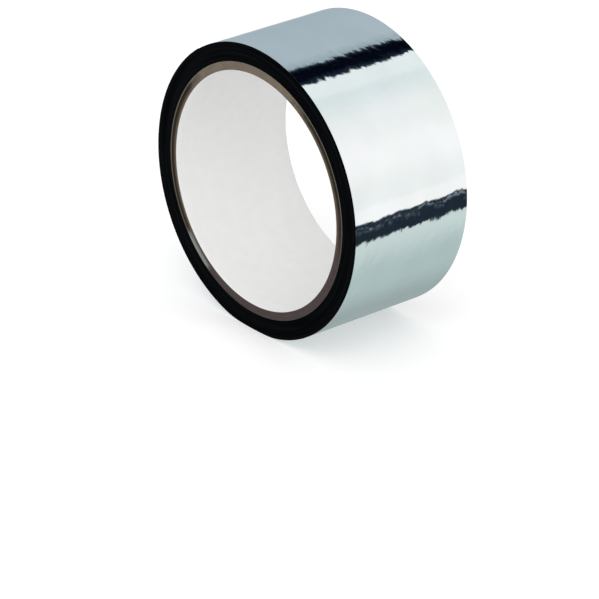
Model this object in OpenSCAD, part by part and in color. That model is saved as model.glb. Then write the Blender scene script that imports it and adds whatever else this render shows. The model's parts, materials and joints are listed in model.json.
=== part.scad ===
// Roll of bright metal tape on a paper core, standing on its rim.
// Millimetres and degrees. The origin is the middle of the core's bore.
// +Y runs along the bore and +Z points up. An angle is counted from +X towards +Z.

/* [Core] */
// Inside diameter of the core
core_bore_d = 77; // [70:0.5:80]
// Thickness of the pale paper that lines the bore
liner_t = 0.45; // [0.3:0.05:0.7]
// Thickness of one board ply
board_t = 0.6; // [0.4:0.05:0.9]
// Number of board plies
board_count = 3; // [2:1:4]
// Thickness of the grey paper outside the boards
outer_ply_t = 0.5; // [0.3:0.05:0.8]

/* [Tape] */
// Width of the tape, and length of the core that is cut with it
tape_w = 45; // [20:1:75]
// Thickness of the tape with its adhesive
tape_t = 0.1; // [0.08:0.01:0.2]
// Thickness of the wound tape, from the core to the rim
winding_t = 6.25; // [3:0.25:40]
// Depth of the flat on which the roll stands
flat_depth = 0.5; // [0.3:0.1:1]

/* [Free end] */
// Length of the tape's end, from the peel line to the cut tip
free_end_len = 50; // [30:1:60]
// Number of links that the bending end is divided into
free_end_links = 5; // [3:1:8]
// Direction in which the tip lies
tip_angle = 126; // [120:1:140]
// Clearance between the free end and the turn under it
lift_gap = 0.05; // [0.03:0.01:0.1]

/* [Hidden] */
$fn = 180;
liner_r = core_bore_d / 2;
board_r = liner_r + liner_t;
outer_ply_r = board_r + board_count * board_t;
core_r = outer_ply_r + outer_ply_t;

// One turn of the tape lowers the rim by one pitch. The turn is two half circles that meet smoothly:
// the first, from the peel line, is centred on the bore, and the second half a pitch beside it.
rim_r = core_r + winding_t;
pitch = tape_t + lift_gap;
link_angle = free_end_len / free_end_links / rim_r * 180 / PI;
peel_angle = tip_angle + free_end_links * link_angle;
second_offset = -pitch / 2;
second_r = rim_r - pitch / 2;
free_end_r = second_r + lift_gap;
standing_z = flat_depth - rim_r;

board_colors = ["#8a7c6b", "#6d5c49", "#4c4033", "#3a3128"];
metal_color = "#c9cfd3";

board_nodes = [for (i = [1:board_count]) str("core_board_", i)];
free_end_nodes = [for (i = [1:free_end_links]) str("free_end_", i)];

// Least distance from the free end to the turn under it, measured on points of their facing sides
function on_second(r, angle) = [second_offset + r * cos(angle), r * sin(angle)];
lap_angles = [0:-link_angle / 24:tip_angle - peel_angle];
lap_gaps = [
    for (a = lap_angles) for (b = lap_angles) norm(on_second(free_end_r, a) - on_second(second_r, b))
];
echo(least_gap_between_turns_mm = min(lap_gaps));

// Turns a shape made round +Z so that its axis is the bore's
module along_bore() {
    rotate([90, 0, 0]) children();
}

// A cross-section of the roll, carried through the tape's whole width
module full_width() {
    along_bore() linear_extrude(tape_w, center = true) children();
}

// The half of a disc that lies on the +Y side of its centre
module half_disc(r) {
    intersection() {
        circle(r);
        translate([-r, 0]) square([2 * r, r]);
    }
}

// What lies at least `depth` under the face of the last turn, drawn with the peel line on +X and then turned
module wound_section(depth) {
    intersection() {
        rotate(peel_angle) union() {
            half_disc(rim_r - depth);
            translate([second_offset, 0]) mirror([0, 1]) half_disc(second_r - depth);
        }
        translate([-2 * rim_r, standing_z + depth]) square(4 * rim_r);
    }
}

module core_ply(r, t) {
    full_width() difference() {
        circle(r + t);
        circle(r);
    }
}

module core_inner_liner() {
    color("#e2e2e0") core_ply(liner_r, liner_t);
}

module core_board(i) {
    color(board_colors[(i - 1) % len(board_colors)]) core_ply(board_r + (i - 1) * board_t, board_t);
}

module core_outer_ply() {
    color("#a29e97") core_ply(outer_ply_r, outer_ply_t);
}

// All turns but the last, bonded to the core and to each other
module tape_winding() {
    color("#121216") full_width() difference() {
        wound_section(tape_t);
        circle(core_r);
    }
}

// The last turn. Its inner end runs on into the winding, one pitch below the peel line.
module outer_turn() {
    color(metal_color) full_width() difference() {
        wound_section(0);
        wound_section(tape_t);
    }
}

// Link i of the free end, counted from the peel line towards the tip
module free_end(i) {
    color(metal_color) along_bore() rotate(peel_angle) translate([second_offset, 0]) rotate(-i * link_angle)
        rotate_extrude(angle = link_angle) translate([free_end_r, -tape_w / 2]) square([tape_t, tape_w]);
}

core_inner_liner();
for (i = [1:board_count]) core_board(i);
core_outer_ply();
tape_winding();
outer_turn();
for (i = [1:free_end_links]) free_end(i);
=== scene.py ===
"""Looks of a roll of bright metal tape on a paper core, standing on its rim.

Lengths are in metres and angles in radians, unless a name says otherwise. An angle round the roll is
counted from +X towards +Z, and an angle along the tape from the peel line, in the same direction.
"""

import json
from math import atan2, cos, hypot, pi, radians, sin

import bpy
from mathutils import Matrix, Vector


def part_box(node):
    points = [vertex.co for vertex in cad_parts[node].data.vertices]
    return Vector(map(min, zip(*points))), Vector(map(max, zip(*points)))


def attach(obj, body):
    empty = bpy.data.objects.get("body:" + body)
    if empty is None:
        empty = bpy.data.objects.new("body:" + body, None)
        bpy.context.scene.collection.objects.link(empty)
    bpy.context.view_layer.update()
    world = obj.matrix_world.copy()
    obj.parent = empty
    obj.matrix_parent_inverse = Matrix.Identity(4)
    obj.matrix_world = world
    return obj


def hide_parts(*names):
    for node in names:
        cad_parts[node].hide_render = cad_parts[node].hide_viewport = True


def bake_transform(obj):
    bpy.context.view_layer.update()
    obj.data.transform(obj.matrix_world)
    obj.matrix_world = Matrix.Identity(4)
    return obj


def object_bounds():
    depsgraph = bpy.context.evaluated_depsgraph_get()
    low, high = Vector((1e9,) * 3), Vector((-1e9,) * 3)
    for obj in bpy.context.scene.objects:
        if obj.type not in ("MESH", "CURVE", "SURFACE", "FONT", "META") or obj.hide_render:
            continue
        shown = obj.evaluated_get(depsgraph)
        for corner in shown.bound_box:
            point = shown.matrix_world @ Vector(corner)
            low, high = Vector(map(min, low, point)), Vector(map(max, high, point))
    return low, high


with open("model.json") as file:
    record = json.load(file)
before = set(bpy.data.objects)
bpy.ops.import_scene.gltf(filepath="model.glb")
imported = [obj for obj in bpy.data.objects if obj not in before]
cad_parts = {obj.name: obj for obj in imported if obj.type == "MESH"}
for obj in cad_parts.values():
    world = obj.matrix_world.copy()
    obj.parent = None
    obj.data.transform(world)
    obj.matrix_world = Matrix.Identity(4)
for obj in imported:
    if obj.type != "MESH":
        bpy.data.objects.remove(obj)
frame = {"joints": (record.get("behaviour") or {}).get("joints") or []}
cad_low, cad_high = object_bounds()
MM = 0.001
FULL_TURN = 2 * pi

# The roll's sizes, as its solids have them
TAPE_W = cad_high.y - cad_low.y
TAPE_T = 0.1 * MM
PITCH = 0.15 * MM
FREE_END_LEN = 50 * MM
BORE_R = 38.5 * MM
LINER_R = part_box("core_inner_liner")[1].x
CORE_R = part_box("core_outer_ply")[1].x
PEEL_POINT = Vector(frame["joints"][0]["pos_m"])
PEEL_LINE = atan2(PEEL_POINT.z, PEEL_POINT.x)
RIM_R = hypot(PEEL_POINT.x, PEEL_POINT.z)
LINKS = len(frame["joints"])
LINK_ANGLE = FREE_END_LEN / LINKS / RIM_R

# The rim eases into its standing flat, which is set a little low so that the roll still stands on the floor.
# The flat cuts nothing where the tape faces downwards less than a share, or where it lies a metre down.
STANDING_DEPTH = -cad_low.z
FLAT_DROP = 0.11 * MM
EASED_FLAT = STANDING_DEPTH + FLAT_DROP
FLAT_EASE = 1.6 * MM
LEAST_DOWNWARDS = 0.3
NO_FLAT = 1.0

# Points closer than this are one point
WELD = 0.001 * MM
# A cut edge is rounded in a few steps where two faces meet at more than an angle, and the shading breaks at
# more than a smaller one
CUT_EDGE_STEPS = 2
CUT_EDGE_ANGLE = radians(60)
SHARP_ANGLE = radians(35)

# The middle of a noise, and the values between which most of it lies
NOISE_MIDDLE = 0.5
NOISE_SPREAD = (0.3, 0.7)


# Node helpers

def place(tree, kind, inputs=None, **settings):
    """Adds a node. Each input is a plain value or another node's output."""
    node = tree.nodes.new(kind)
    for name, value in settings.items():
        setattr(node, name, value)
    for key, value in (inputs or {}).items():
        if isinstance(value, bpy.types.NodeSocket):
            tree.links.new(value, node.inputs[key])
        else:
            node.inputs[key].default_value = value
    return node


def calc(tree, operation, *values):
    return place(tree, "ShaderNodeMath", dict(enumerate(values)), operation=operation).outputs[0]


def point(tree, x, y, z):
    return place(tree, "ShaderNodeCombineXYZ", {"X": x, "Y": y, "Z": z}).outputs[0]


def parts_of(tree, vector):
    return place(tree, "ShaderNodeSeparateXYZ", {0: vector}).outputs


def noise(tree, vector, scale=1.0, detail=2.0, roughness=0.5):
    sizes = {"Vector": vector, "Scale": scale, "Detail": detail, "Roughness": roughness}
    return place(tree, "ShaderNodeTexNoise", sizes).outputs[0]


def between(tree, value, low, high, to_low=0.0, to_high=1.0, smooth=False):
    """What a value from low to high becomes when it is spread from to_low to to_high."""
    kind = "SMOOTHSTEP" if smooth else "LINEAR"
    limits = {"Value": value, "From Min": low, "From Max": high, "To Min": to_low, "To Max": to_high}
    return place(tree, "ShaderNodeMapRange", limits, interpolation_type=kind).outputs[0]


def blended(tree, first, share, second):
    """The sum of two values, of which the second gets what the first one's share leaves."""
    return calc(tree, "MULTIPLY_ADD", first, share, calc(tree, "MULTIPLY", second, 1 - share))


def mixed(tree, factor, first, second):
    node = place(tree, "ShaderNodeMix", {0: factor, 6: first, 7: second}, data_type="RGBA")
    return node.outputs[2]


def rgba(red, green, blue):
    return (red, green, blue, 1.0)


# Shapes that follow a rule

def geometry_tree(name, inputs):
    """An empty tree with these inputs and one mesh as output, and the outputs of its input node."""
    tree = bpy.data.node_groups.new(name, "GeometryNodeTree")
    for label, kind in inputs:
        tree.interface.new_socket(label, in_out="INPUT", socket_type="NodeSocket" + kind)
    tree.interface.new_socket("Mesh", in_out="OUTPUT", socket_type="NodeSocketGeometry")
    return tree, tree.nodes.new("NodeGroupInput").outputs


def grow(name, tree, values, edge_round=0.0):
    """A plain mesh object of what the tree makes of these values, with its cut edges rounded."""
    maker = bpy.data.objects.new(name + "_maker", bpy.data.meshes.new(name + "_maker"))
    bpy.context.collection.objects.link(maker)
    modifier = maker.modifiers.new("shape", "NODES")
    modifier.node_group = tree
    for socket in tree.interface.items_tree:
        if socket.in_out == "INPUT":
            modifier[socket.identifier] = values[socket.name]
    if edge_round:
        bevel = maker.modifiers.new("cut_edges", "BEVEL")
        bevel.width = edge_round
        bevel.segments = CUT_EDGE_STEPS
        bevel.limit_method = "ANGLE"
        bevel.angle_limit = CUT_EDGE_ANGLE
    depsgraph = bpy.context.evaluated_depsgraph_get()
    mesh = bpy.data.meshes.new_from_object(
        maker.evaluated_get(depsgraph), preserve_all_data_layers=True, depsgraph=depsgraph
    )
    bpy.data.objects.remove(maker)
    mesh.name = name
    mesh.set_sharp_from_angle(angle=SHARP_ANGLE)
    piece = bpy.data.objects.new(name, mesh)
    bpy.context.collection.objects.link(piece)
    return piece


def rim_reach(tree, given, turned, angle):
    """Distance from the bore's centre to the tape's face: a slow spiral, cut by the flat it stands on."""
    half_pitch = calc(tree, "MULTIPLY", given["Pitch"], 0.5)
    bend = calc(tree, "COSINE", turned)
    second_half = calc(tree, "GREATER_THAN", turned, pi)
    lapped = calc(tree, "LESS_THAN", turned, 0.0)
    drop = calc(tree, "MULTIPLY", second_half, calc(tree, "ADD", 1.0, bend))
    rise = calc(tree, "MULTIPLY", lapped, calc(tree, "SUBTRACT", 1.0, bend))
    rise_less_drop = calc(tree, "SUBTRACT", rise, drop)
    spiral = calc(tree, "MULTIPLY_ADD", rise_less_drop, half_pitch, given["Radius"])
    downwards = calc(tree, "MULTIPLY", calc(tree, "SINE", angle), -1.0)
    downwards = calc(tree, "MAXIMUM", downwards, LEAST_DOWNWARDS)
    to_flat = calc(tree, "DIVIDE", given["Flat"], downwards)
    return calc(tree, "SMOOTH_MIN", spiral, to_flat, FLAT_EASE)


def on_circle(tree, reach, angle, across):
    """The point at this distance and angle round the bore, and this far across the tape."""
    x = calc(tree, "MULTIPLY", reach, calc(tree, "COSINE", angle))
    z = calc(tree, "MULTIPLY", reach, calc(tree, "SINE", angle))
    return point(tree, x, across, z)


def unit_grid(tree, points_along, points_across):
    """A grid of one by one, and its points' places along and across, from -0.5 to 0.5."""
    grid = place(tree, "GeometryNodeMeshGrid", {
        "Size X": 1.0, "Size Y": 1.0, "Vertices X": points_along, "Vertices Y": points_across,
    }).outputs["Mesh"]
    spot = parts_of(tree, place(tree, "GeometryNodeInputPosition").outputs[0])
    return grid, spot["X"], spot["Y"]


def wound_strip_tree():
    """A strip wound round the bore. Its face looks outwards and its back is one thickness below."""
    tree, given = geometry_tree("wound_strip", [
        ("Start", "Float"), ("End", "Float"), ("Seam", "Float"), ("Twist", "Float"),
        ("Radius", "Float"), ("Pitch", "Float"), ("Flat", "Float"),
        ("Width", "Float"), ("Thickness", "Float"), ("Wave", "Float"),
        ("Wave Length", "Float"), ("Wave Width", "Float"),
        ("Points Along", "Int"), ("Points Across", "Int"),
        ("Face", "Material"), ("Back", "Material"),
    ])
    grid, grid_along, grid_across = unit_grid(tree, given["Points Along"], given["Points Across"])
    swept = calc(tree, "SUBTRACT", given["End"], given["Start"])
    turned = calc(tree, "MULTIPLY_ADD", calc(tree, "ADD", grid_along, 0.5), swept, given["Start"])
    across = calc(tree, "MULTIPLY", grid_across, given["Width"])
    seam = calc(tree, "MULTIPLY_ADD", grid_across, given["Twist"], given["Seam"])
    angle = calc(tree, "ADD", turned, seam)
    reach = rim_reach(tree, given, turned, angle)

    round_way = calc(tree, "DIVIDE", reach, given["Wave Length"])
    width_way = calc(tree, "DIVIDE", across, given["Wave Width"])
    ripple = noise(tree, on_circle(tree, round_way, angle, width_way), detail=1.0)
    height = calc(tree, "MULTIPLY", calc(tree, "SUBTRACT", ripple, NOISE_MIDDLE), given["Wave"])
    rippled = calc(tree, "ADD", reach, height)

    length = calc(tree, "MULTIPLY", angle, given["Radius"])
    mapped = place(tree, "GeometryNodeStoreNamedAttribute", {
        "Geometry": grid, "Name": "UVMap", "Value": point(tree, length, across, 0.0),
    }, data_type="FLOAT2", domain="CORNER").outputs["Geometry"]
    sheet = place(tree, "GeometryNodeSetPosition", {
        "Geometry": mapped, "Position": on_circle(tree, rippled, angle, across),
    }).outputs["Geometry"]

    made = parts_of(tree, place(tree, "GeometryNodeInputPosition").outputs[0])
    outwards = place(tree, "ShaderNodeVectorMath", {
        0: point(tree, made["X"], 0.0, made["Z"]),
    }, operation="NORMALIZE").outputs[0]
    inwards = place(tree, "ShaderNodeVectorMath", {
        0: outwards, "Scale": -1.0,
    }, operation="SCALE").outputs[0]
    body = place(tree, "GeometryNodeExtrudeMesh", {
        "Mesh": sheet, "Offset": inwards, "Offset Scale": given["Thickness"], "Individual": False,
    }, mode="FACES").outputs["Mesh"]
    top = place(tree, "GeometryNodeFlipFaces", {"Mesh": sheet}).outputs["Mesh"]
    joined = place(tree, "GeometryNodeJoinGeometry")
    tree.links.new(body, joined.inputs[0])
    tree.links.new(top, joined.inputs[0])
    closed = place(tree, "GeometryNodeMergeByDistance", {
        "Geometry": joined.outputs[0], "Distance": WELD,
    }).outputs[0]
    smooth = place(tree, "GeometryNodeSetShadeSmooth", {"Geometry": closed}).outputs[0]

    facing = place(tree, "ShaderNodeVectorMath", {
        0: place(tree, "GeometryNodeInputNormal").outputs[0], 1: outwards,
    }, operation="DOT_PRODUCT").outputs["Value"]
    is_face = calc(tree, "GREATER_THAN", facing, 0.5)
    real = place(tree, "GeometryNodeRealizeInstances", {"Geometry": smooth}).outputs[0]
    backed = place(tree, "GeometryNodeSetMaterial", {
        "Geometry": real, "Material": given["Back"],
    }).outputs[0]
    faced = place(tree, "GeometryNodeSetMaterial", {
        "Geometry": backed, "Selection": is_face, "Material": given["Face"],
    }).outputs[0]
    place(tree, "NodeGroupOutput", {0: faced})
    return tree


# The steps of the turns: their roughness, the noise at which one is as wide as the tape, and how far the far
# side's steps lie from the near side's in the noise
STEP_ROUGHNESS = 0.7
WIDEST_STEP = 0.9
FAR_SIDE_STEPS = 40.0


def wound_turns_tree():
    """The bonded turns as one ring whose two sides show the edges of the turns as fine uneven steps."""
    tree, given = geometry_tree("wound_turns", [
        ("Seam", "Float"), ("Radius", "Float"), ("Pitch", "Float"), ("Flat", "Float"),
        ("Depth", "Float"), ("Inner Radius", "Float"), ("Width", "Float"),
        ("Step Height", "Float"), ("Step Width", "Float"),
        ("Columns", "Int"), ("Rows", "Int"), ("Finish", "Material"),
    ])
    loop = calc(tree, "MULTIPLY_ADD", given["Rows"], 2.0, 2.0)
    grid, grid_along, grid_across = unit_grid(
        tree, calc(tree, "ADD", given["Columns"], 1.0), calc(tree, "ADD", loop, 1.0)
    )
    column = calc(tree, "MULTIPLY", calc(tree, "ADD", grid_along, 0.5), given["Columns"])
    column = calc(tree, "MODULO", calc(tree, "ROUND", column), given["Columns"])
    turned = calc(tree, "MULTIPLY", calc(tree, "DIVIDE", column, given["Columns"]), FULL_TURN)
    angle = calc(tree, "ADD", turned, given["Seam"])

    row = calc(tree, "MULTIPLY", calc(tree, "ADD", grid_across, 0.5), loop)
    row = calc(tree, "MODULO", calc(tree, "ROUND", row), loop)
    far_side = calc(tree, "GREATER_THAN", row, calc(tree, "ADD", given["Rows"], 0.5))
    near_side = calc(tree, "SUBTRACT", 1.0, far_side)
    mirrored = calc(tree, "SUBTRACT", calc(tree, "SUBTRACT", loop, 1.0), row)
    near_row = calc(tree, "MULTIPLY", row, near_side)
    far_row = calc(tree, "MULTIPLY", mirrored, far_side)
    share = calc(tree, "DIVIDE", calc(tree, "ADD", near_row, far_row), given["Rows"])

    rim = calc(tree, "SUBTRACT", rim_reach(tree, given, turned, angle), given["Depth"])
    depth = calc(tree, "SUBTRACT", rim, given["Inner Radius"])
    reach = calc(tree, "MULTIPLY_ADD", share, depth, given["Inner Radius"])
    lay = calc(tree, "DIVIDE", reach, given["Step Width"])
    lay = calc(tree, "MULTIPLY_ADD", far_side, FAR_SIDE_STEPS, lay)
    lay_point = point(tree, calc(tree, "COSINE", angle), lay, calc(tree, "SINE", angle))
    lay_noise = noise(tree, lay_point, roughness=STEP_ROUGHNESS)
    step = calc(tree, "SUBTRACT", lay_noise, WIDEST_STEP)
    half_tape = calc(tree, "MULTIPLY", given["Width"], 0.5)
    half_width = calc(tree, "MULTIPLY_ADD", step, given["Step Height"], half_tape)
    way = calc(tree, "MULTIPLY_ADD", far_side, 2.0, -1.0)
    across = calc(tree, "MULTIPLY", half_width, way)
    ring = place(tree, "GeometryNodeSetPosition", {
        "Geometry": grid, "Position": on_circle(tree, reach, angle, across),
    }).outputs["Geometry"]
    welded = place(tree, "GeometryNodeMergeByDistance", {"Geometry": ring, "Distance": WELD}).outputs[0]
    outside = place(tree, "GeometryNodeFlipFaces", {"Mesh": welded}).outputs[0]
    smooth = place(tree, "GeometryNodeSetShadeSmooth", {"Geometry": outside}).outputs[0]
    real = place(tree, "GeometryNodeRealizeInstances", {"Geometry": smooth}).outputs[0]
    finished = place(tree, "GeometryNodeSetMaterial", {
        "Geometry": real, "Material": given["Finish"],
    }).outputs[0]
    place(tree, "NodeGroupOutput", {0: finished})
    return tree


# Effects that more than one material uses

def shader_group(name, inputs, outputs):
    """An empty group with these inputs and outputs, and the outputs of its input node."""
    tree = bpy.data.node_groups.new(name, "ShaderNodeTree")
    for label, kind in inputs:
        tree.interface.new_socket(label, in_out="INPUT", socket_type="NodeSocket" + kind)
    for label, kind in outputs:
        tree.interface.new_socket(label, in_out="OUTPUT", socket_type="NodeSocket" + kind)
    return tree, tree.nodes.new("NodeGroupInput").outputs


# Paper's clouds and fibres: their detail and roughness, the fibres' share in its tone, and the tone's spread
CLOUD_GRAIN = (3.0, 0.55)
FIBRE_GRAIN = (3.0, 0.65)
FIBRE_SHARE = 0.45
PAPER_SPREAD = (0.32, 0.68)


def paper_fibre_group():
    """Cloudy tone and fine felted height of pressed paper."""
    tree, given = shader_group(
        "paper_fibre",
        [("Vector", "Vector"), ("Cloud", "Float"), ("Fibre", "Float")],
        [("Tone", "Float"), ("Height", "Float")],
    )
    cloud = noise(tree, given["Vector"], calc(tree, "DIVIDE", 1.0, given["Cloud"]), *CLOUD_GRAIN)
    fibre = noise(tree, given["Vector"], calc(tree, "DIVIDE", 1.0, given["Fibre"]), *FIBRE_GRAIN)
    tone = between(tree, blended(tree, fibre, FIBRE_SHARE, cloud), *PAPER_SPREAD)
    place(tree, "NodeGroupOutput", {"Tone": tone, "Height": fibre})
    return tree


# How far the rings of the roll's two sides lie from the middle in the noise, and how rough the rings are
SIDE_RINGS = 30.0
RING_ROUGHNESS = 0.6


def ring_line_group():
    """Fine uneven rings round the bore, as the edges of wound layers show."""
    tree, given = shader_group(
        "ring_line",
        [("Vector", "Vector"), ("Spacing", "Float")],
        [("Line", "Float")],
    )
    spot = parts_of(tree, given["Vector"])
    squares = calc(tree, "ADD", calc(tree, "POWER", spot["X"], 2.0), calc(tree, "POWER", spot["Z"], 2.0))
    layers = calc(tree, "DIVIDE", calc(tree, "SQRT", squares), given["Spacing"])
    turn = calc(tree, "ARCTAN2", spot["Z"], spot["X"])
    side = calc(tree, "MULTIPLY", calc(tree, "SIGN", spot["Y"]), SIDE_RINGS)
    layers = calc(tree, "ADD", layers, side)
    ring_point = point(tree, calc(tree, "COSINE", turn), layers, calc(tree, "SINE", turn))
    lines = noise(tree, ring_point, roughness=RING_ROUGHNESS)
    place(tree, "NodeGroupOutput", {"Line": between(tree, lines, *NOISE_SPREAD)})
    return tree


def drawn_out_group():
    """Noise drawn out along the tape or across it, on the tape's own map of metres along and across."""
    tree, given = shader_group(
        "drawn_out",
        [("On Tape", "Vector"), ("Length", "Float"), ("Width", "Float"),
         ("Detail", "Float"), ("Roughness", "Float"), ("Offset", "Float")],
        [("Height", "Float")],
    )
    spot = parts_of(tree, given["On Tape"])
    along = calc(tree, "DIVIDE", spot["X"], given["Length"])
    across = calc(tree, "DIVIDE", spot["Y"], given["Width"])
    drawn = point(tree, along, across, given["Offset"])
    height = noise(tree, drawn, 1.0, given["Detail"], given["Roughness"])
    place(tree, "NodeGroupOutput", {"Height": height})
    return tree


# Materials

def new_material(name, **sockets):
    """A material whose shader's own sockets have these values, with its tree and shader."""
    material = bpy.data.materials.new(name)
    material.use_nodes = True
    tree = material.node_tree
    shader = tree.nodes["Principled BSDF"]
    for label, value in sockets.items():
        shader.inputs[label.replace("_", " ")].default_value = value
    return material, tree, shader


def object_point(tree):
    return place(tree, "ShaderNodeTexCoord").outputs["Object"]


def bumped(tree, shader, height, distance, under=None):
    """Gives the shader this bump, over another one if there is one, and returns its normal."""
    node = place(tree, "ShaderNodeBump", {"Height": height, "Distance": distance, "Strength": 1.0})
    if under is not None:
        tree.links.new(under, node.inputs["Normal"])
    tree.links.new(node.outputs[0], shader.inputs["Normal"])
    return node.outputs[0]


def tape_ripple(tree, drawn_out):
    """A maker of ripples on the tape: each has a length, a width, its detail and a place in the noise."""
    on_tape = place(tree, "ShaderNodeUVMap", uv_map="UVMap").outputs[0]

    def ripple(length, width, detail, roughness, offset):
        sizes = {"On Tape": on_tape, "Length": length, "Width": width,
                 "Detail": detail, "Roughness": roughness, "Offset": offset}
        return place(tree, "ShaderNodeGroup", sizes, node_tree=drawn_out).outputs["Height"]

    return ripple


# Ripples of the metal film: length along the tape, width across it, detail, roughness and place in the noise
FILM_SLACK = (26 * MM, 10 * MM, 1.0, 0.5, 41.0)
FILM_SWELL = (12 * MM, 8 * MM, 2.0, 0.45, 33.0)
FILM_DENT = (5 * MM, 3.5 * MM, 1.0, 0.5, 11.0)
FILM_CREASED = (45 * MM, 200 * MM, 1.0, 0.5, 78.5)
FILM_CREASE = (2.8 * MM, 1.7 * MM, 1.0, 0.5, 13.0)
FILM_CLOUD = (17 * MM, 13 * MM, 2.0, 0.4, 23.0)
FILM_DRIFT = (24 * MM, 20 * MM, 1.0, 0.5, 57.0)
FILM_HAZE = (30 * MM, 3 * MM, 2.0, 0.5, 31.0)
# The heights of the swells, the dents and the creases
SWELL_HEIGHT = 0.22 * MM
DENT_HEIGHT = 0.03 * MM
CREASE_HEIGHT = 0.05 * MM
# Spreads of the noise, and what they become: the swell's share in tight and slack film, and the roughness
SLACK_SPREAD = (0.36, 0.62)
SLACK_SHARES = (0.3, 1.0)
CREASED_SPREAD = (0.42, 0.6)
HAZE_SPREAD = (0.3, 0.75)
HAZE_ROUGHNESS = (0.03, 0.05)
# The metal's tint drifts from green to blue, dim and clear
DIM_TINTS = (rgba(0.892, 0.920, 0.905), rgba(0.904, 0.908, 0.929))
CLEAR_TINTS = (rgba(0.948, 0.977, 0.963), rgba(0.961, 0.966, 0.984))


def bright_metal(drawn_out):
    """Mirror-bright metallised film over the turns, with swells, dents and stretches of fine creases."""
    material, tree, shader = new_material("bright_metal", Metallic=1.0)
    ripple = tape_ripple(tree, drawn_out)
    slack = between(tree, ripple(*FILM_SLACK), *SLACK_SPREAD, *SLACK_SHARES)
    swell = calc(tree, "SUBTRACT", ripple(*FILM_SWELL), NOISE_MIDDLE)
    swelled = bumped(tree, shader, calc(tree, "MULTIPLY", swell, slack), SWELL_HEIGHT)
    dented = bumped(tree, shader, ripple(*FILM_DENT), DENT_HEIGHT, swelled)
    creased = between(tree, ripple(*FILM_CREASED), *CREASED_SPREAD)
    crease = calc(tree, "MULTIPLY", ripple(*FILM_CREASE), creased)
    bumped(tree, shader, crease, CREASE_HEIGHT, dented)
    cloud = between(tree, ripple(*FILM_CLOUD), *NOISE_SPREAD)
    drift = between(tree, ripple(*FILM_DRIFT), *NOISE_SPREAD)
    tint = mixed(tree, cloud, mixed(tree, drift, *DIM_TINTS), mixed(tree, drift, *CLEAR_TINTS))
    tree.links.new(tint, shader.inputs["Base Color"])
    haze = between(tree, ripple(*FILM_HAZE), *HAZE_SPREAD, *HAZE_ROUGHNESS)
    tree.links.new(haze, shader.inputs["Roughness"])
    return material


# The adhesive's streaks along the tape and ridges across it, as the ripples of the film, and its fine grain
COAT_STREAKS = (60 * MM, 2.6 * MM, 2.0, 0.5, 71.0)
COAT_RIDGES = (2.4 * MM, 40 * MM, 3.0, 0.6, 83.0)
COAT_GRAIN_SIZE = 0.5 * MM
COAT_GRAIN = (3.0, 0.6)
STREAK_SHARE = 0.4
COAT_SHARE = 0.7
COAT_HEIGHT = 0.3 * MM
COAT_SPREAD = (0.38, 0.62)
COAT_BLACKS = (rgba(0.003, 0.003, 0.005), rgba(0.015, 0.015, 0.018))
COAT_ROUGHNESS = (0.2, 0.42)


def adhesive(drawn_out):
    """The dark tacky back of the tape, and its cut edges: coated in streaks, pulled up in ridges across."""
    material, tree, shader = new_material("adhesive", Specular_IOR_Level=0.16)
    ripple = tape_ripple(tree, drawn_out)
    coat = blended(tree, ripple(*COAT_STREAKS), STREAK_SHARE, ripple(*COAT_RIDGES))
    grain = noise(tree, object_point(tree), 1 / COAT_GRAIN_SIZE, *COAT_GRAIN)
    tone = blended(tree, coat, COAT_SHARE, grain)
    black = mixed(tree, between(tree, tone, *COAT_SPREAD), *COAT_BLACKS)
    tree.links.new(black, shader.inputs["Base Color"])
    roughness = between(tree, tone, *COAT_SPREAD, *COAT_ROUGHNESS)
    tree.links.new(roughness, shader.inputs["Roughness"])
    bumped(tree, shader, coat, COAT_HEIGHT)
    return material


# Rings on the side of the winding, from single turns to slow bands: their spacing and their share in its tone
TURN_RINGS = [(0.1 * MM, 0.25), (0.32 * MM, 0.35), (1.3 * MM, 0.4)]
TURN_SPREAD = (0.25, 0.75)
TURN_BLACKS = (rgba(0.0001, 0.0001, 0.0002), rgba(0.0034, 0.0037, 0.0052))
TURN_ROUGHNESS = (0.38, 0.55)
TURN_HEIGHT = 0.012 * MM


def tape_edges(ring_line):
    """The near-black side of the winding, with the faint lines of its turns."""
    material, tree, shader = new_material("tape_edges", Specular_IOR_Level=0.012)
    spot = object_point(tree)
    tone = 0.0
    for spacing, share in TURN_RINGS:
        rings = place(tree, "ShaderNodeGroup", {"Vector": spot, "Spacing": spacing}, node_tree=ring_line)
        tone = calc(tree, "ADD", tone, calc(tree, "MULTIPLY", rings.outputs["Line"], share))
    black = mixed(tree, between(tree, tone, *TURN_SPREAD, smooth=True), *TURN_BLACKS)
    tree.links.new(black, shader.inputs["Base Color"])
    roughness = between(tree, tone, 0.0, 1.0, *TURN_ROUGHNESS)
    tree.links.new(roughness, shader.inputs["Roughness"])
    bumped(tree, shader, tone, TURN_HEIGHT)
    return material


# The core's paper: the size of its clouds and fibres, the height of its felt, the layers of its cut ends and
# their share in the tone there, how deep a cut end's tone reaches, and how dark the clouds are
PAPER_CLOUD = 3.5 * MM
PAPER_FIBRE = 0.28 * MM
FELT_HEIGHT = 0.02 * MM
PAPER_LAYER = 0.14 * MM
LAYER_SHARE = 0.6
CUT_END = (TAPE_W / 2 - 0.09 * MM, TAPE_W / 2 - 0.04 * MM)
CLOUD_SHADE = 0.95

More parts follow.
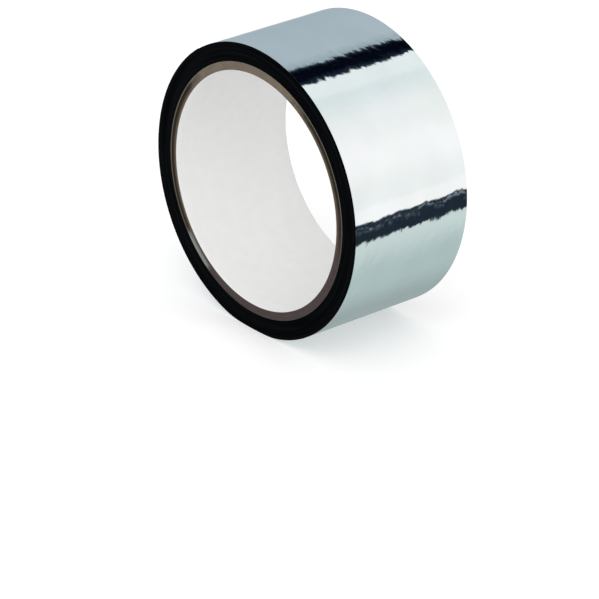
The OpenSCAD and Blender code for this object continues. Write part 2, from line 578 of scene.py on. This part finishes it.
# Stretches of the core's cut ends with a tone of their own: the middle of each and how far it reaches round
# the ring, the same across the plies, and its two tones. The stretch at the top and the short one at 228
# degrees are painted highlights, paler where light falls on the cut end; the one at the bottom is a flat,
# greyer tone. Each has its tone fully over a share of its reach, its ends are ragged, and the far end of the
# core has them at other angles.
STRETCH_FULL_SHARE = 0.3
STRETCH_RAGGED = 0.5
FAR_END_TURN = radians(140)
ALL_PLIES = 8 * MM
PAINTED_HIGHLIGHT_AND_GREY_STRETCHES = [
    (radians(96), radians(44), 40 * MM, ALL_PLIES, rgba(0.125, 0.098, 0.072), rgba(0.225, 0.185, 0.142)),
    (radians(290), radians(74), 40 * MM, ALL_PLIES, rgba(0.056, 0.042, 0.039), rgba(0.089, 0.068, 0.064)),
    (radians(228), radians(10), 40.5 * MM, 1.5 * MM, rgba(0.12, 0.13, 0.12), rgba(0.33, 0.36, 0.33)),
]


def core_paper(name, paper_fibre, ring_line, face, end_pale, end_dark):
    """Pressed paper of the core. Its cut ends show the layers it is rolled from, with painted highlights and
    a greyer stretch round the ring.
    """
    material, tree, shader = new_material(name, Roughness=0.85, Specular_IOR_Level=0.2)
    spot = object_point(tree)
    at = parts_of(tree, spot)
    felt = place(tree, "ShaderNodeGroup", {
        "Vector": spot, "Cloud": PAPER_CLOUD, "Fibre": PAPER_FIBRE,
    }, node_tree=paper_fibre).outputs
    layers = place(tree, "ShaderNodeGroup", {
        "Vector": spot, "Spacing": PAPER_LAYER,
    }, node_tree=ring_line).outputs
    face_dark = [CLOUD_SHADE * share for share in face]
    wall = mixed(tree, felt["Tone"], rgba(*face_dark), rgba(*face))

    grain = blended(tree, layers["Line"], LAYER_SHARE, felt["Tone"])
    end = mixed(tree, grain, rgba(*end_dark), rgba(*end_pale))
    on_far_end = calc(tree, "GREATER_THAN", at["Y"], 0.0)
    turn = calc(tree, "ARCTAN2", at["Z"], at["X"])
    turn = calc(tree, "MULTIPLY_ADD", on_far_end, FAR_END_TURN, turn)
    radius = place(tree, "ShaderNodeVectorMath", {
        0: point(tree, at["X"], 0.0, at["Z"]),
    }, operation="LENGTH").outputs["Value"]
    # The stretches paint highlights into the cut end at the top and at 228 degrees, and a greyer tone at the
    # bottom
    for middle, reach, ply_r, ply_reach, dark, pale in PAINTED_HIGHLIGHT_AND_GREY_STRETCHES:
        nearness = calc(tree, "COSINE", calc(tree, "SUBTRACT", turn, middle))
        ragged = STRETCH_RAGGED * (1 - cos(reach))
        nearness = calc(tree, "MULTIPLY_ADD", felt["Tone"], ragged, nearness)
        along = between(tree, nearness, cos(reach), cos(STRETCH_FULL_SHARE * reach), smooth=True)
        off_ply = calc(tree, "ABSOLUTE", calc(tree, "SUBTRACT", radius, ply_r))
        across = between(tree, off_ply, STRETCH_FULL_SHARE * ply_reach, ply_reach, 1.0, 0.0, smooth=True)
        in_stretch = calc(tree, "MULTIPLY", along, across)
        end = mixed(tree, in_stretch, end, mixed(tree, grain, dark, pale))

    cut_end = between(tree, calc(tree, "ABSOLUTE", at["Y"]), *CUT_END)
    tree.links.new(mixed(tree, cut_end, wall, end), shader.inputs["Base Color"])
    bumped(tree, shader, felt["Height"], FELT_HEIGHT)
    return material


drawn_out = drawn_out_group()
METAL = bright_metal(drawn_out)
ADHESIVE = adhesive(drawn_out)
ring_line = ring_line_group()
EDGES = tape_edges(ring_line)
papers = (paper_fibre_group(), ring_line)
# Each paper's face, and the pale and dark tones of its cut ends
LINER = core_paper("liner_paper", *papers, (0.85, 0.85, 0.845), (0.17, 0.14, 0.11), (0.11, 0.088, 0.066))
BOARDS = [
    core_paper("board_1", *papers, (0.13, 0.10, 0.07), (0.115, 0.086, 0.056), (0.056, 0.040, 0.023)),
    core_paper("board_2", *papers, (0.10, 0.08, 0.05), (0.046, 0.031, 0.015), (0.019, 0.012, 0.005)),
    core_paper("board_3", *papers, (0.08, 0.06, 0.04), (0.022, 0.015, 0.007), (0.009, 0.006, 0.002)),
]
PLY_PAPER = core_paper("ply_paper", *papers, (0.20, 0.195, 0.17), (0.145, 0.14, 0.12), (0.06, 0.057, 0.048))


# Pieces

wound_strip = wound_strip_tree()
wound_turns = wound_turns_tree()

# A ply's butt seam: its gap, how far it winds from end to end, and where it lies on each ply, in degrees
SEAM_GAP = 0.12 * MM
SEAM_TWIST = radians(132)
LINER_SEAM_DEG = 31
BOARD_SEAM_STEP_DEG = 110
OUTER_SEAM_DEG = 200
PLY_EDGE_ROUND = 0.06 * MM
PLY_POINTS_ALONG = 241
PLY_POINTS_ACROSS = 19

# The tape's slow waves, and its points
WAVE_HEIGHT = 0.05 * MM
WAVE_LENGTH = 12 * MM
WAVE_WIDTH = 7 * MM
TAPE_POINTS_ACROSS = 49
LAST_TURN_POINTS = 641
FREE_END_POINTS = 25

# The steps on the sides of the bonded turns, and their points
STEP_HEIGHT = 0.09 * MM
STEP_WIDTH = 0.5 * MM
TURNS_COLUMNS = 300
TURNS_ROWS = 64


def core_ply(name, node, radius_out, wall, seam_deg, material):
    """One ply of the core: a paper strip wrapped once, with a slanting butt seam."""
    piece = grow(name, wound_strip, {
        "Start": 0.0, "End": FULL_TURN - SEAM_GAP / radius_out,
        "Seam": radians(seam_deg), "Twist": SEAM_TWIST,
        "Radius": radius_out, "Pitch": 0.0, "Flat": NO_FLAT,
        "Width": TAPE_W, "Thickness": wall, "Wave": 0.0, "Wave Length": 1.0, "Wave Width": 1.0,
        "Points Along": PLY_POINTS_ALONG, "Points Across": PLY_POINTS_ACROSS,
        "Face": material, "Back": material,
    }, edge_round=PLY_EDGE_ROUND)
    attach(piece, "roll")
    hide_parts(node)


def tape_strip(name, start, end, points_along):
    """A length of the tape itself, metal face outwards."""
    return grow(name, wound_strip, {
        "Start": start, "End": end, "Seam": PEEL_LINE, "Twist": 0.0,
        "Radius": RIM_R, "Pitch": PITCH, "Flat": EASED_FLAT,
        "Width": TAPE_W, "Thickness": TAPE_T,
        "Wave": WAVE_HEIGHT, "Wave Length": WAVE_LENGTH, "Wave Width": WAVE_WIDTH,
        "Points Along": points_along, "Points Across": TAPE_POINTS_ACROSS,
        "Face": METAL, "Back": ADHESIVE,
    })


core_ply("liner_sleeve", "core_inner_liner", LINER_R, LINER_R - BORE_R, LINER_SEAM_DEG, LINER)
inner = LINER_R
for number, board in enumerate(BOARDS, 1):
    node = f"core_board_{number}"
    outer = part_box(node)[1].x
    seam_deg = LINER_SEAM_DEG + BOARD_SEAM_STEP_DEG * number
    core_ply(f"board_ply_{number}", node, outer, outer - inner, seam_deg, board)
    inner = outer
core_ply("outer_paper_ply", "core_outer_ply", CORE_R, CORE_R - inner, OUTER_SEAM_DEG, PLY_PAPER)

turns = grow("bonded_turns", wound_turns, {
    "Seam": PEEL_LINE, "Radius": RIM_R, "Pitch": PITCH, "Flat": EASED_FLAT,
    "Depth": TAPE_T, "Inner Radius": CORE_R, "Width": TAPE_W,
    "Step Height": STEP_HEIGHT, "Step Width": STEP_WIDTH,
    "Columns": TURNS_COLUMNS, "Rows": TURNS_ROWS, "Finish": EDGES,
})
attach(turns, "roll")
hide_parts("tape_winding")

last_turn = tape_strip("last_turn", 0.0, FULL_TURN, LAST_TURN_POINTS)
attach(last_turn, "roll")
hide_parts("outer_turn")

# Each length of the free end runs from the middle of one link to the middle of the next, across the hinge
# line between them. The first starts at the peel line, where the bend is tight, and the last ends at the
# cut tip.
for number in range(1, LINKS + 1):
    start = 0.0 if number == 1 else -(number - 1.5) * LINK_ANGLE
    middle = -(number - 0.5) * LINK_ANGLE
    tip = -LINKS * LINK_ANGLE if number == LINKS else middle
    length = tape_strip(f"tape_end_{number}", tip, start, FREE_END_POINTS)
    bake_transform(length)
    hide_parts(f"free_end_{number}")


# Camera at the photograph's viewing angle

CAMERA_AT = (0.83855, -0.72501, 0.49534)
CAMERA_AZIMUTH = radians(49.29)
CAMERA_ELEVATION = radians(25.93)
CAMERA_ROLL = radians(0.96)
LENS_MM = 234.9
SENSOR_MM = 36

camera_data = bpy.data.cameras.new("camera")
camera_data.lens = LENS_MM
camera_data.sensor_width = SENSOR_MM
camera = bpy.data.objects.new("camera", camera_data)
look = (
    Matrix.Rotation(CAMERA_AZIMUTH, 4, "Z")
    @ Matrix.Rotation(pi / 2 - CAMERA_ELEVATION, 4, "X")
    @ Matrix.Rotation(CAMERA_ROLL, 4, "Z")
)
camera.matrix_world = Matrix.Translation(CAMERA_AT) @ look
bpy.context.collection.objects.link(camera)
bpy.context.scene.camera = camera


# Floor and light

# Each lamp's place, its size and its watts
LAMPS = {
    "key_lamp": ((0.6, -0.8, 1.2), 0.8, 3.0),
    "bore_lamp": ((1.1, -1.0, 0.12), 0.8, 3.8),
}
FLOOR_HALF = 4.0
FLOOR_GREY = rgba(0.8, 0.8, 0.8)
FLOOR_GLOW = 0.3
WHITE = rgba(1.0, 1.0, 1.0)
LIGHT_LEVEL = rgba(0.93, 0.93, 0.93)


def soft_lamp(name, at, size, watts):
    """A square lamp that faces the roll and isn't mirrored in it."""
    lamp_data = bpy.data.lights.new(name, "AREA")
    lamp_data.size = size
    lamp_data.energy = watts
    lamp = bpy.data.objects.new(name, lamp_data)
    lamp.location = at
    lamp.rotation_euler = Vector(at).to_track_quat("Z", "Y").to_euler()
    lamp.visible_glossy = False
    bpy.context.collection.objects.link(lamp)


def pale_floor():
    """A white floor that keeps the roll's shadow. The metal shows the surround below it instead."""
    level = cad_low.z
    corners = [(-1, -1), (1, -1), (1, 1), (-1, 1)]
    mesh = bpy.data.meshes.new("floor")
    mesh.from_pydata([(x * FLOOR_HALF, y * FLOOR_HALF, level) for x, y in corners], [], [(0, 1, 2, 3)])
    floor = bpy.data.objects.new("floor", mesh)
    bpy.context.collection.objects.link(floor)
    material, tree, shader = new_material("floor_white", Roughness=1.0, Specular_IOR_Level=0.0)
    shader.inputs["Base Color"].default_value = FLOOR_GREY
    rays = place(tree, "ShaderNodeLightPath").outputs
    glow = calc(tree, "MULTIPLY", rays["Is Camera Ray"], FLOOR_GLOW)
    lift = place(tree, "ShaderNodeEmission", {"Color": WHITE, "Strength": glow})
    both = place(tree, "ShaderNodeAddShader", {0: shader.outputs[0], 1: lift.outputs[0]})
    tree.links.new(both.outputs[0], tree.nodes["Material Output"].inputs["Surface"])
    mesh.materials.append(material)
    floor.visible_glossy = False


# What the metal mirrors: sheets of the studio's surround that run along the bore. Each starts at an angle
# round it, in degrees, takes over from the one before within a soft edge, and has its own colour. The angles
# run between two limits, and shaded floor lies at both.
SURROUND_LIMITS = (-150.0, 210.0)
SHADED_FLOOR = rgba(0.33, 0.40, 0.40)
SURROUND = {
    "near_floor": (-96, 40, rgba(0.43, 0.54, 0.535)),
    "far_floor": (-50, 34, rgba(0.60, 0.70, 0.69)),
    "lower_gap": (-34.0, 2.2, rgba(0.014, 0.023, 0.035)),
    "lower_gap_top": (-23, 7, rgba(0.016, 0.028, 0.043)),
    "lit_edge": (-18.5, 1.3, rgba(0.96, 0.98, 0.97)),
    "white_sheet": (-8, 6, rgba(0.89, 0.92, 0.915)),
    "lit_middle": (13, 28, rgba(0.975, 0.985, 0.98)),
    "white_top": (42, 28, rgba(0.88, 0.91, 0.905)),
    "dim_top": (66, 26, rgba(0.735, 0.813, 0.820)),
    "top_lip": (82, 6, rgba(0.81, 0.872, 0.878)),
    "upper_gap_foot": (96.6, 2.4, rgba(0.009, 0.017, 0.033)),
    "upper_gap": (100, 6, rgba(0.001, 0.002, 0.006)),
    "upper_gap_top": (110.5, 4, rgba(0.010, 0.016, 0.026)),
    "ceiling_foot": (114, 4.5, rgba(0.335, 0.42, 0.465)),
    "ceiling": (119.5, 7, rgba(0.405, 0.49, 0.54)),
    "ceiling_back": (165, 60, rgba(0.375, 0.46, 0.51)),
    "far_side": (197, 8, rgba(0.60, 0.66, 0.68)),
    "floor_again": (206, 7, SHADED_FLOOR),
}
# Pale flecks in the lower gap, on the far side of the studio: where they set in and end, in degrees, how far
# along the bore a ray has to point to meet them, their size round and along the bore, and the spread of
# their noise
FLECKS_FROM = (-28.0, -19.5)
FLECKS_TO = (-19.5, -18.5)
FLECKS_FAR = (0.3, 0.45)
FLECK_TURN = 2.6
FLECK_ALONG = 0.034
FLECK_SPREAD = (0.51, 0.82)
FLECK_COLOR = rgba(0.36, 0.45, 0.50)


def studio_world():
    """White behind the roll, even light on it, and the surround for what its metal mirrors."""
    world = bpy.data.worlds.new("studio")
    bpy.context.scene.world = world
    world.use_nodes = True
    tree = world.node_tree
    toward = parts_of(tree, place(tree, "ShaderNodeTexCoord").outputs["Generated"])
    turn = calc(tree, "ARCTAN2", toward["Z"], toward["X"])
    turn = calc(tree, "MULTIPLY", turn, 180 / pi)
    first, last = SURROUND_LIMITS
    turn = calc(tree, "WRAP", turn, last, first)
    shown = SHADED_FLOOR
    for starts_at, soft_edge, color in SURROUND.values():
        reached = between(tree, turn, starts_at - soft_edge / 2, starts_at + soft_edge / 2, smooth=True)
        shown = mixed(tree, reached, shown, color)

    round_way = calc(tree, "DIVIDE", turn, FLECK_TURN)
    bore_way = calc(tree, "DIVIDE", toward["Y"], FLECK_ALONG)
    fleck_noise = noise(tree, point(tree, round_way, bore_way, 0.0), detail=1.0)
    flecks = between(tree, fleck_noise, *FLECK_SPREAD)
    before_end = between(tree, turn, *FLECKS_TO, 1.0, 0.0)
    in_gap = calc(tree, "MULTIPLY", between(tree, turn, *FLECKS_FROM), before_end)
    in_gap = calc(tree, "MULTIPLY", in_gap, between(tree, toward["Y"], *FLECKS_FAR))
    shown = mixed(tree, calc(tree, "MULTIPLY", flecks, in_gap), shown, FLECK_COLOR)

    rays = place(tree, "ShaderNodeLightPath").outputs
    mirrored = calc(tree, "MAXIMUM", rays["Is Glossy Ray"], rays["Is Transmission Ray"])
    lit = mixed(tree, mirrored, LIGHT_LEVEL, shown)
    seen = mixed(tree, rays["Is Camera Ray"], lit, WHITE)
    tree.links.new(seen, tree.nodes["Background"].inputs["Color"])


for name, (at, size, watts) in LAMPS.items():
    soft_lamp(name, at, size, watts)
pale_floor()
studio_world()
bpy.context.scene.view_settings.view_transform = "Standard"
